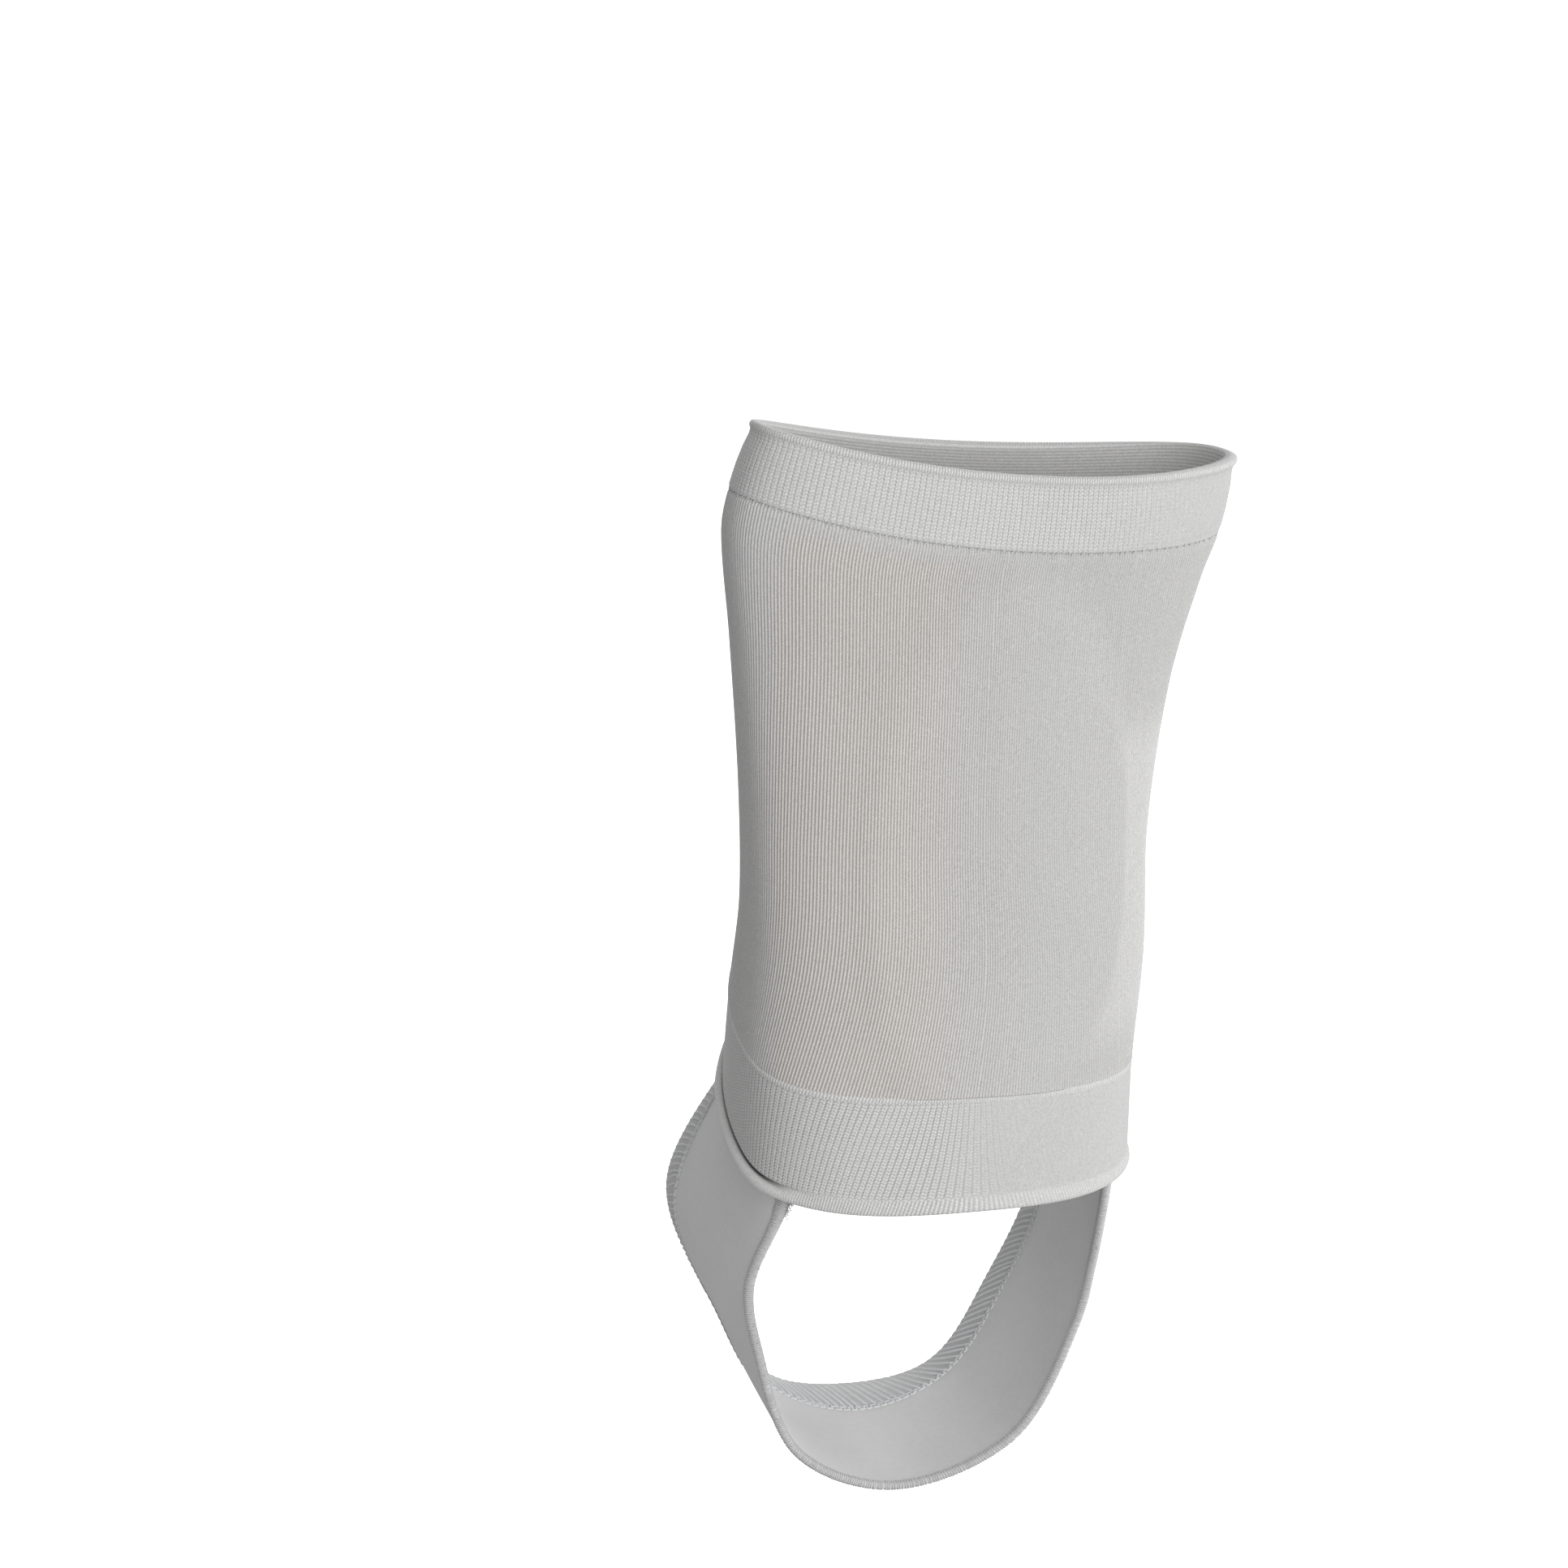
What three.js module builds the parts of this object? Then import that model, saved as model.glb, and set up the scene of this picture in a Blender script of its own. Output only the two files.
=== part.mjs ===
// A knitted midfoot sleeve with a gel pad under the arch and a strap round the heel, in its worn shape.
// Millimetres. +X points to the big-toe side of a right foot, +Y to the instep and +Z to the toes.
// The origin is the middle of the hollow that the foot fills, half way along the sole.
import * as THREE from "three";

// Driving dimensions
const KNIT_WALL = 1.0;
const CUFF_WALL = 1.8;
const STRAP_WALL = 2.0;
const REAR_CUFF_LENGTH = 19;
const FRONT_CUFF_LENGTH = 12;
const GAP = 0.3;
const SOLE_SQUARENESS = 2.5;
const INSTEP_SQUARENESS = 2.05;
const CLIMB_POWER = 1.5;
const PAD = {
  middleZ: -0.5,
  length: 93,
  width: 47,
  across: 3.2,
  lean: 2.5,
  taper: 0.05,
  edge: 1.2,
  crown: 3.6,
};
const PAD_STEP_DOWN = { begins: 14, ends: 4 };
const STRAP_TUCK = 7;
const STRAP_ENDS = {
  lateral: { lower: -33, upper: -87 },
  medial: { lower: 36, upper: 87 },
};

// The rolled hem of a cuff: how far back from its edge each step lies, and how far it stands out from the
// wall.
const HEM_ROLL = [
  { back: 0, out: -0.5 },
  { back: 0.5, out: 0.2 },
  { back: 1.2, out: 0.4 },
  { back: 1.9, out: 0.2 },
  { back: 2.4, out: 0 },
];

// Fineness of the facets
const STEPS_ROUND = 64;
const BODY_ROW_LENGTH = 6;
const CUFF_ROW_LENGTH = 5;
const PAD_RINGS = 6;
const PAD_SPOKES = 36;
const STRAP_STEPS_LONG = 64;
const STRAP_STEPS_WIDE = 6;

// Sections of the worn sleeve from the heel end to the toe end. Each meets the middle of the sole at soleZ,
// climbs by rise to the top of the instep, and slopes across the foot by lean and, towards both sides, by
// sag. wideY is the height of the widest place, and ridgeX how far the crest of the instep leans to the
// big-toe side.
const SECTION_COLUMNS = [
  ...["soleZ", "rise", "lean", "sag"],
  ...["lateralX", "medialX", "soleY", "wideY", "topY", "ridgeX"],
];
const SECTIONS = [
  [-58, 24, 0.02, 0, -35, 30, -31, -8, 42, 2],
  [-39, 21, 0, 0, -35.5, 29.5, -31, -10, 37, 3],
  [-20, 16, -0.02, 0, -35.5, 30, -31, -12, 31, 4],
  [2, 11, -0.03, 0.0005, -37.5, 29, -31, -14, 25, 5],
  [26, 6, -0.05, 0.0015, -41, 31, -32, -16, 17, 6],
  [42, 2.5, -0.065, 0.0022, -43.5, 35, -32.8, -16.8, 11.5, 6.7],
  [49, 1, -0.07, 0.0024, -42.7, 37.5, -33, -17, 9, 7],
  [61, 0, -0.07, 0.0024, -39.5, 40, -33, -17, 5, 7],
].map((row) => Object.fromEntries(row.map((value, i) => [SECTION_COLUMNS[i], value])));
const HEEL_END = SECTIONS[0].soleZ;
const TOE_END = SECTIONS[SECTIONS.length - 1].soleZ;
const REAR_SEAM = HEEL_END + REAR_CUFF_LENGTH;
const FRONT_SEAM = TOE_END - FRONT_CUFF_LENGTH;

// Sections of the strap where it runs free round the heel, each an arc through three points of its middle
// face.
const STRAP_SECTIONS = [
  { lower: [-30.3, -3, -78.6], middle: [-33.2, 16, -75.4], upper: [-33.9, 34, -71] },
  { lower: [-27.7, 0, -89.8], middle: [-27.4, 17.5, -91.5], upper: [-24.5, 35, -93.2] },
  { lower: [-18.9, 3, -110.3], middle: [-17, 19.5, -109.3], upper: [-15.2, 36, -107.8] },
  { lower: [0, 6, -118.5], middle: [0, 20, -116.4], upper: [0, 36, -111] },
  { lower: [18.9, 3, -110.3], middle: [17, 19.5, -109.3], upper: [15.2, 36, -107.8] },
  { lower: [28, 0, -89.8], middle: [27.4, 17.5, -91.5], upper: [24.5, 35, -93.2] },
  { lower: [29, -3, -78.6], middle: [31.6, 16, -75.4], upper: [32.2, 34, -71] },
];

// A column of the section table at a place along the sole, joined by smooth cubic steps.
function column(name, z) {
  const last = SECTIONS.length - 1;
  const at = (i) => SECTIONS[Math.min(Math.max(i, 0), last)];
  let i = 0;
  while (i < last - 1 && z > at(i + 1).soleZ) i += 1;
  const slope = (k) => (at(k + 1)[name] - at(k - 1)[name]) / (at(k + 1).soleZ - at(k - 1).soleZ);
  const span = at(i + 1).soleZ - at(i).soleZ;
  const t = (z - at(i).soleZ) / span;
  const step = (at(i + 1)[name] - at(i)[name]) * t * t * (3 - 2 * t);
  const swing = span * t * (1 - t) * ((1 - t) * slope(i) - t * slope(i + 1));
  return at(i)[name] + step + swing;
}

// A point of the sleeve's outer face. turn runs 0 to 1 from the big-toe side over the instep and round the
// sole.
function skin(turn, z) {
  const angle = 2 * Math.PI * turn;
  const onSole = Math.sin(angle) < 0;
  const power = 2 / (onSole ? SOLE_SQUARENESS : INSTEP_SQUARENESS);
  const across = Math.sign(Math.cos(angle)) * Math.abs(Math.cos(angle)) ** power;
  const up = Math.sign(Math.sin(angle)) * Math.abs(Math.sin(angle)) ** power;
  const [lateralX, medialX, ridgeX] = ["lateralX", "medialX", "ridgeX"].map((name) => column(name, z));
  const [soleY, wideY, topY] = ["soleY", "wideY", "topY"].map((name) => column(name, z));
  const [rise, lean, sag] = ["rise", "lean", "sag"].map((name) => column(name, z));
  const x = (lateralX + medialX) / 2 + (across * (medialX - lateralX)) / 2 + ridgeX * Math.max(up, 0) ** 2;
  const y = wideY + up * (onSole ? wideY - soleY : topY - wideY);
  const climb = Math.max((y - soleY) / (topY - soleY), 0) ** CLIMB_POWER;
  return new THREE.Vector3(x, y, z + lean * x + sag * x * x + rise * climb);
}

// The way round the section at z, measured from the middle of the sole towards the big-toe side.
const SOLE_TURN = 0.75;
const WALK_STEPS = 720;
const walks = new Map();
function walk(z) {
  if (walks.has(z)) return walks.get(z);
  const ring = Array.from({ length: WALK_STEPS + 1 }, (_, i) => skin(SOLE_TURN + i / WALK_STEPS, z));
  const along = [0];
  ring.slice(1).forEach((point, i) => along.push(along[i] + point.distanceTo(ring[i])));
  const girth = along[WALK_STEPS];
  const turnAt = (length) => {
    const wanted = ((length % girth) + girth) % girth;
    const i = along.findIndex((reached) => reached > wanted) - 1;
    return SOLE_TURN + (i + (wanted - along[i]) / (along[i + 1] - along[i])) / WALK_STEPS;
  };
  walks.set(z, { girth, turnAt });
  return walks.get(z);
}

// A point at a depth under the sleeve's outer face, measured square to it.
const TURN_NUDGE = 0.002;
const LENGTH_NUDGE = 1;
function under(turn, z, depth) {
  const round = skin(turn + TURN_NUDGE, z).sub(skin(turn - TURN_NUDGE, z));
  const along = skin(turn, z + LENGTH_NUDGE).sub(skin(turn, z - LENGTH_NUDGE));
  return skin(turn, z).addScaledVector(round.cross(along).normalize(), -depth);
}

function meshFrom(points, index) {
  const positions = points.flatMap((point) => point.toArray());
  return new THREE.BufferGeometry()
    .setAttribute("position", new THREE.Float32BufferAttribute(positions, 3))
    .setIndex(index);
}

// Triangles between two neighbouring closed loops of points that start at the given places in a list.
function bandBetween(first, second, count) {
  return Array.from({ length: count }, (_, c) => {
    const right = (c + 1) % count;
    return [first + c, first + right, second + right, first + c, second + right, second + c];
  }).flat();
}

// A wall round the foot from one place along the sole to another, with a rolled hem at one of them if
// asked.
function sleeveWall(fromZ, toZ, wall, rowLength, hemZ) {
  const count = Math.round((toZ - fromZ) / rowLength);
  const rowZ = (i) => fromZ + ((toZ - fromZ) * i) / count;
  const plain = Array.from({ length: count + 1 }, (_, i) => ({ z: rowZ(i), out: 0 }));
  const inward = hemZ === fromZ ? 1 : -1;
  const roll = hemZ === null ? [] : HEM_ROLL.map(({ back, out }) => ({ z: hemZ + inward * back, out }));
  const stations = [...plain.filter(({ z }) => z !== hemZ), ...roll].sort((a, b) => a.z - b.z);
  const loop = (z, depth) => {
    const { girth, turnAt } = walk(z);
    const turns = Array.from({ length: STEPS_ROUND }, (_, i) => turnAt((girth * i) / STEPS_ROUND));
    return turns.map((turn) => under(turn, z, depth));
  };
  const outer = stations.map(({ z, out }) => loop(z, -out));
  const inner = stations.map(({ z, out }) => loop(z, wall + Math.min(out, 0))).reverse();
  const loops = [...outer, ...inner];
  const starts = loops.map((_, i) => i * STEPS_ROUND);
  const after = (i) => starts[(i + 1) % starts.length];
  const index = starts.flatMap((start, i) => bandBetween(start, after(i), STEPS_ROUND));
  return meshFrom(loops.flat(), index);
}

// The gel pad lies on the inside of the knit under the arch, thick in the middle and thin at its edge. Its
// heel end steps down under the thicker wall of the rear cuff.
function gelPad() {
  const bed = (z) => {
    const { ends, begins } = PAD_STEP_DOWN;
    const onKnit = THREE.MathUtils.smoothstep(z, REAR_SEAM + ends, REAR_SEAM + begins);
    return GAP + THREE.MathUtils.lerp(CUFF_WALL, KNIT_WALL, onKnit);
  };
  const place = (ring, spoke, thickness) => {
    const angle = (2 * Math.PI * spoke) / PAD_SPOKES;
    const z = PAD.middleZ + (ring * PAD.length * Math.sin(angle)) / 2;
    const halfWidth = (PAD.width / 2) * (1 - PAD.taper * Math.sin(angle));
    const across = PAD.across + ring * (PAD.lean * Math.sin(angle) + halfWidth * Math.cos(angle));
    return under(walk(z).turnAt(across), z, bed(z) + thickness);
  };
  const thickness = (ring) => PAD.edge + PAD.crown * (1 - ring * ring);
  const spokes = Array.from({ length: PAD_SPOKES }, (_, i) => i);
  const rings = Array.from({ length: PAD_RINGS }, (_, i) => (i + 1) / PAD_RINGS);
  const foot = rings.map((ring) => spokes.map((spoke) => place(ring, spoke, thickness(ring))));
  const seat = rings.map((ring) => spokes.map((spoke) => place(ring, spoke, 0)));
  const loops = [...foot, ...seat.toReversed()];
  const tip = loops.length * PAD_SPOKES;
  const lastLoop = tip - PAD_SPOKES;
  const start = (i) => i * PAD_SPOKES;
  const bands = loops.slice(1).flatMap((_, i) => bandBetween(start(i), start(i + 1), PAD_SPOKES));
  const fans = spokes.flatMap((spoke) => {
    const right = (spoke + 1) % PAD_SPOKES;
    return [tip, right, spoke, tip + 1, lastLoop + spoke, lastLoop + right];
  });
  return meshFrom([...loops.flat(), place(0, 0, thickness(0)), place(0, 0, 0)], [...bands, ...fans]);
}

// A line along the strap's middle face, at a share of its width from the lower edge. Both its ends are tucked
// under the rear cuff.
function strapLine(share) {
  const depth = CUFF_WALL + GAP + STRAP_WALL / 2;
  const tucked = ({ lower, upper }, z) => under(walk(z).turnAt(lower + (upper - lower) * share), z, depth);
  const arc = ({ lower, middle, upper }) => {
    const [a, m, b] = [lower, middle, upper].map((point) => new THREE.Vector3(...point));
    const bulge = m.sub(a.clone().add(b).multiplyScalar(0.5));
    return a.lerp(b, share).addScaledVector(bulge, 4 * share * (1 - share));
  };
  return new THREE.CatmullRomCurve3([
    tucked(STRAP_ENDS.lateral, HEEL_END + STRAP_TUCK),
    tucked(STRAP_ENDS.lateral, HEEL_END),
    ...STRAP_SECTIONS.map(arc),
    tucked(STRAP_ENDS.medial, HEEL_END),
    tucked(STRAP_ENDS.medial, HEEL_END + STRAP_TUCK),
  ]);
}

function heelStrap() {
  const lines = Array.from({ length: STRAP_STEPS_WIDE + 1 }, (_, i) => strapLine(i / STRAP_STEPS_WIDE));
  const grid = lines.map((line) => line.getPoints(STRAP_STEPS_LONG));
  const outward = (i, j) => {
    const wide = grid[Math.min(i + 1, STRAP_STEPS_WIDE)][j].clone().sub(grid[Math.max(i - 1, 0)][j]);
    const long = grid[i][Math.min(j + 1, STRAP_STEPS_LONG)].clone().sub(grid[i][Math.max(j - 1, 0)]);
    return wide.cross(long).normalize();
  };
  const shifted = (i, j, by) => grid[i][j].clone().addScaledVector(outward(i, j), by);
  const across = lines.map((_, i) => i);
  const loops = grid[0].map((_, j) => [
    ...across.map((i) => shifted(i, j, STRAP_WALL / 2)),
    ...across.toReversed().map((i) => shifted(i, j, -STRAP_WALL / 2)),
  ]);
  const size = loops[0].length;
  const bands = loops.slice(1).flatMap((_, j) => bandBetween(j * size, (j + 1) * size, size));
  const last = STRAP_STEPS_LONG * size;
  const ends = across.slice(1).flatMap((c) => {
    const [outer, inner] = [c - 1, size - c];
    const first = [outer, inner, inner - 1, outer, inner - 1, outer + 1];
    return [...first, ...first.toReversed().map((place) => last + place)];
  });
  return meshFrom(loops.flat(), [...bands, ...ends]);
}

const material = (color, roughness) => new THREE.MeshStandardMaterial({ color, roughness, metalness: 0 });

function piece(name, geometry, look) {
  geometry.computeVertexNormals();
  const mesh = new THREE.Mesh(geometry, look);
  mesh.name = name;
  return mesh;
}

const bodyWall = sleeveWall(REAR_SEAM + GAP / 2, FRONT_SEAM - GAP / 2, KNIT_WALL, BODY_ROW_LENGTH, null);
const frontWall = sleeveWall(FRONT_SEAM + GAP / 2, TOE_END, CUFF_WALL, CUFF_ROW_LENGTH, TOE_END);
const rearWall = sleeveWall(HEEL_END, REAR_SEAM - GAP / 2, CUFF_WALL, CUFF_ROW_LENGTH, HEEL_END);

const sleeve = new THREE.Group();
sleeve.add(
  piece("sleeve_body", bodyWall, material(0xbdbcba, 0.9)),
  piece("front_cuff", frontWall, material(0xbcbdbd, 0.9)),
  piece("rear_cuff", rearWall, material(0xbcbdbd, 0.9)),
  piece("gel_pad", gelPad(), material(0xd8d6cf, 0.35)),
  piece("heel_strap", heelStrap(), material(0x9c9d9f, 0.75)),
);

export default sleeve;
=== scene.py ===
"""A knitted midfoot sleeve with a gel pad and a heel strap, dressed in yarn, stitches and soft light.

Sizes are in millimetres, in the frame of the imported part: +X to the big-toe side, +Y to the instep and
+Z to the toes.
"""
import math

import bpy
import numpy as np
from mathutils import Matrix, Vector


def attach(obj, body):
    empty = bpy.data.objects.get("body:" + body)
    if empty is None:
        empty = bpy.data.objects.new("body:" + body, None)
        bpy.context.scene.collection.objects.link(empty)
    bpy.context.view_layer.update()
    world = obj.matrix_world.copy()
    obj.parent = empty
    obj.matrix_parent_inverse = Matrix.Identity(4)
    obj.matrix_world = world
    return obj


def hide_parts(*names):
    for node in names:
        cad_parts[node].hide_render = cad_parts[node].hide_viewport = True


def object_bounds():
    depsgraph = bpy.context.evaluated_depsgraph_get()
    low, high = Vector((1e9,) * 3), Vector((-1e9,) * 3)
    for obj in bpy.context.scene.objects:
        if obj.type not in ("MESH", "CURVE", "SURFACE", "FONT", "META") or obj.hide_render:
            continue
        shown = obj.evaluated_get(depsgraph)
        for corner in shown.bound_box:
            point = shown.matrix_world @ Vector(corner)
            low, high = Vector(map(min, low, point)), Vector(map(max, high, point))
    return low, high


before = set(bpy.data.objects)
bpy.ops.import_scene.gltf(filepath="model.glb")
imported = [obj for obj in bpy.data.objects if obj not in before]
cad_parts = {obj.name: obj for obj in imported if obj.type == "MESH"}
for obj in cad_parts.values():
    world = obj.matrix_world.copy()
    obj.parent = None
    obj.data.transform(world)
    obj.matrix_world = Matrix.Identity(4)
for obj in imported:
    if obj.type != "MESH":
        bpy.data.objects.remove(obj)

MM = 0.001
CAD_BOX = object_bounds()
RANDOM = np.random.default_rng(7)

# Driving dimensions, as in the part's source
KNIT_WALL = 1.0
CUFF_WALL = 1.8
STRAP_WALL = 2.0
REAR_CUFF_LENGTH = 19
FRONT_CUFF_LENGTH = 12
GAP = 0.3
SOLE_SQUARENESS = 2.5
INSTEP_SQUARENESS = 2.05
CLIMB_POWER = 1.5
PAD = dict(middle_z=-0.5, length=93, width=47, across=3.2, lean=2.5, taper=0.05, edge=1.2, crown=3.6)
PAD_STEP_DOWN = dict(begins=14, ends=4)
STRAP_TUCK = 7
STRAP_ENDS = dict(lateral=(-33, -87), medial=(36, 87))

# Sections of the worn sleeve from the heel end to the toe end, as in the part's source
SECTION_COLUMNS = (
    "sole_z", "rise", "lean", "sag", "lateral_x", "medial_x", "sole_y", "wide_y", "top_y", "ridge_x",
)
SECTIONS = np.array([
    (-58, 24, 0.02, 0, -35, 30, -31, -8, 42, 2),
    (-39, 21, 0, 0, -35.5, 29.5, -31, -10, 37, 3),
    (-20, 16, -0.02, 0, -35.5, 30, -31, -12, 31, 4),
    (2, 11, -0.03, 0.0005, -37.5, 29, -31, -14, 25, 5),
    (26, 6, -0.05, 0.0015, -41, 31, -32, -16, 17, 6),
    (42, 2.5, -0.065, 0.0022, -43.5, 35, -32.8, -16.8, 11.5, 6.7),
    (49, 1, -0.07, 0.0024, -42.7, 37.5, -33, -17, 9, 7),
    (61, 0, -0.07, 0.0024, -39.5, 40, -33, -17, 5, 7),
], dtype=float)
SOLE_Z = SECTIONS[:, 0]
HEEL_END = SOLE_Z[0]
TOE_END = SOLE_Z[-1]
REAR_SEAM = HEEL_END + REAR_CUFF_LENGTH
FRONT_SEAM = TOE_END - FRONT_CUFF_LENGTH

# Sections of the strap round the heel: the lower, middle and upper point of its middle face
STRAP_SECTIONS = np.array([
    ((-30.3, -3, -78.6), (-33.2, 16, -75.4), (-33.9, 34, -71)),
    ((-27.7, 0, -89.8), (-27.4, 17.5, -91.5), (-24.5, 35, -93.2)),
    ((-18.9, 3, -110.3), (-17, 19.5, -109.3), (-15.2, 36, -107.8)),
    ((0, 6, -118.5), (0, 20, -116.4), (0, 36, -111)),
    ((18.9, 3, -110.3), (17, 19.5, -109.3), (15.2, 36, -107.8)),
    ((28, 0, -89.8), (27.4, 17.5, -91.5), (24.5, 35, -93.2)),
    ((29, -3, -78.6), (31.6, 16, -75.4), (32.2, 34, -71)),
], dtype=float)

# The knit of the body: columns of stitches, called wales, and rows of stitches, called courses
WALES = 368
POINTS_PER_WALE = 4
WALE_HEIGHT = 0.15
COURSE = 0.5
BODY_ROW = 1.7
BODY_INNER_ROWS = 6
BODY_EDGE_ROWS = (0, 0.25, 0.7)
WALE_UNEVEN = (0.75, 1.25)
WALE_SHAPE = dict(wave=0.5, sunk=0.1)
WALES_RISE = (0, 1.2)
TUCK = dict(front=0.32, rear=0.06, fades=(0, 0.6))
STRETCH_OFF_SEAM = dict(least=0.3, fades=(0.3, 3.0))
PAD_SWELL = 0.45
PAD_FLATTENS_WALES = 0.6
PAD_FADE = dict(begins=0.86, ends=1.06, arch_begins=0.09, arch_ends=0.02)
ARCH = dict(begins=(0, 0.6), ends=(0.3, 0.42), heel_end=(-37, -26), toe_end=(14, 25))

# Crowding of the stitch columns round the girth: the share where it is strongest, how far it reaches and its
# strength. A rebound crowds the columns beside it the other way. The pad keeps the knit over it from
# stretching, and the hem at the heel spreads its columns apart.
CROWD_STEPS = 1001
BODY_CROWD = dict(
    middle=0.04, spread=0.115, rebound=0, strength=0.5, eases_from=-5, eased=0.5, swings_from=20, swing=1.9,
)
FRONT_CROWD = dict(middle=0.04, spread=0.115, rebound=0, strength=0.2, twist=0.13)
REAR_CROWD = dict(middle=0.0, spread=0.1, rebound=2, seam=0.21, hem=-0.41)

# Where the body's knit is stretched open, in millimetres round from the middle of the sole
STRETCHED = dict(opens=-41, open=-32, closes=-14, closed=20, least=0.12)

# The mesh knit of the cuffs: each column is two wales, with a row of pin-holes in every second groove
REAR_COLUMNS = 210
FRONT_COLUMNS = 206
REAR_MESH_ROW = 0.51
FRONT_MESH_ROW = 0.57
POINTS_PER_COLUMN = 4
POINTS_PER_MESH_ROW = 2
MESH_RELIEF = 0.15
MESH_WAVES = dict(column=0.25, wale=0.28, row=0.2, slant=0.2)
FINE_RIB = 0.05
SLEEK_SMOOTHS = 0.8
CLOSED_SMOOTHS = 0.8
CLOSED_SEAM_SINKS = 0.7
CUFF_INNER_ROWS = (0.97, 0.7, 0.35, 0.07, 0.015)

# Where the mesh closes up to a plain knit, in millimetres round from the middle of the sole
REAR_CLOSES = (-10, 8)
FRONT_CLOSES = (8, 34)
OPENS_AGAIN = (60, 85)

# Profiles of the cuffs from the free edge to the seam: how far back from the edge a point is and how far it
# stands out from the plain wall, first where the hem lies flush and then where it rolls, and how much of the
# knit is ribs. The front hem lies flush all round.
REAR_PROFILE = np.array([
    (-0.05, -0.9, -0.05, -0.9, 1),
    (0.0, -0.4, -0.2, -0.3, 1),
    (0.2, -0.1, -0.22, 0.3, 1),
    (0.4, 0.02, -0.05, 0.85, 1),
    (0.65, 0.06, 0.35, 1.25, 1),
    (0.9, 0.08, 0.85, 1.4, 1),
    (1.15, 0.08, 1.35, 1.25, 1),
    (1.4, 0.08, 1.68, 0.85, 1),
    (1.65, 0.07, 1.82, 0.4, 1),
    (1.9, 0.06, 1.87, -0.1, 1),
    (2.1, 0.05, 1.9, -0.6, 1),
    (2.3, 0.04, 1.97, -1.0, 1),
    (2.5, 0.03, 2.1, -1.0, 0.8),
    (2.7, 0.02, 2.2, -0.6, 0.5),
    (2.9, 0.01, 2.27, -0.15, 0.2),
    (3.15, 0.0, 2.45, 0.06, 0),
    (10.0, 0.05, 10.0, 0.05, 0),
    (18.2, 0.0, 18.2, 0.0, 0),
    (18.4, 0.06, 18.4, 0.06, 0.5),
    (18.6, 0.14, 18.6, 0.14, 1),
    (18.85, 0.17, 18.85, 0.17, 1),
    (19.1, 0.15, 19.1, 0.15, 1),
    (19.3, 0.07, 19.3, 0.07, 1),
    (19.42, -0.03, 19.42, -0.03, 1),
    (19.4, -0.1, 19.4, -0.1, 1),
    (18.9, -0.15, 18.9, -0.15, 1),
])
FRONT_PROFILE = np.array([
    (-0.05, -0.9, 1),
    (0.0, -0.35, 1),
    (0.15, 0.0, 1),
    (0.4, 0.13, 1),
    (0.7, 0.17, 1),
    (1.0, 0.1, 1),
    (1.2, -0.06, 0.6),
    (1.4, -0.2, 0),
    (2.2, -0.27, 0),
    (4.5, 0.0, 0),
    (7.5, 0.12, 0),
    (11.0, 0.12, 0),
    (11.45, 0.1, 0.3),
    (11.75, 0.0, 0.6),
    (11.92, -0.25, 1),
    (11.9, -0.5, 1),
])[:, (0, 1, 0, 1, 2)]
ROLL_BEGINS = 25
ROLL_FULL = 39
ROLL_EASES = (62, 86)
ROLL_LEAST = 0.35
# The depths over which painted shade fills the crease under the rolled hem
ROLL_CREASE_SHADE = (-0.5, 0.15)

# The strap's overlocked edges: how far apart the rungs are, how far they reach over the strap's face, how
# thick their thread is, how far they stand off the edge and lean along the strap, how unevenly they lie, and
# how much they swell where the strap leaves the hem
STRAP_STEPS_LONG = 320
STRAP_STEPS_WIDE = 40
STRAP_CLOTH = 1.2
STRAP_LIFT = (STRAP_WALL - STRAP_CLOTH) / 2
STRAP_ROUNDING = 0.6
STRAP_FREE = (0.102, 0.898)
EDGE_SAMPLES = 1500
UPPER_RUNG = dict(pitch=1.35, reach=6.5, radius=0.24, stand=0, lean=-4.8, uneven=0.05, swell=0)
LOWER_RUNG = dict(pitch=0.45, reach=1.2, radius=0.16, stand=0.08, lean=0.1, uneven=0.05, swell=1.6)
SWELL_FADES = 0.02
RUNG_STEPS = 13
RUNG_REACH = (0.92, 1.06)
RUNG_CURVE = dict(reach=1.5, stand=4, rise=0.3)
RUNG_RAISED = 0.5
CHAIN = dict(steps=10, reach=0.96, sway=0.34, loop=0.3, rise=0.35, lift=0.25, thread=0.75)
# How the painted shade under the overlocked edges fades past the rungs' reach, and how much of it the lower
# edge gets
OVERLOCK_SHADE_FADES = dict(upper=(-0.7, -0.2), lower=(-0.2, 0.2), lower_share=0.5)

# The camera, fitted to the photograph
PHOTO_SIDE = 1932
FOCAL_PIXELS = 5660
ORIGIN_PIXEL = (1160, 1003)
CAMERA_AZIMUTH = math.radians(-20)
CAMERA_ELEVATION = math.radians(13)
CAMERA_ROLL = math.radians(2.5)
CAMERA_DISTANCE = 750
SENSOR_WIDTH = 36


def unit(vectors):
    return vectors / np.linalg.norm(vectors, axis=-1, keepdims=True)


def smoothstep(value, start, end):
    t = np.clip((value - start) / (end - start), 0, 1)
    return t * t * (3 - 2 * t)


# The worn surface

def column(name, z):
    """A column of the section table at places along the sole, joined by smooth cubic steps."""
    values = SECTIONS[:, SECTION_COLUMNS.index(name)]
    last = len(values) - 1
    places = np.arange(last + 1)
    below = np.maximum(places - 1, 0)
    above = np.minimum(places + 1, last)
    slopes = (values[above] - values[below]) / (SOLE_Z[above] - SOLE_Z[below])
    i = np.clip(np.searchsorted(SOLE_Z, z) - 1, 0, last - 1)
    span = SOLE_Z[i + 1] - SOLE_Z[i]
    t = (z - SOLE_Z[i]) / span
    step = (values[i + 1] - values[i]) * t * t * (3 - 2 * t)
    swing = span * t * (1 - t) * ((1 - t) * slopes[i] - t * slopes[i + 1])
    return values[i] + step + swing


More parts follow.
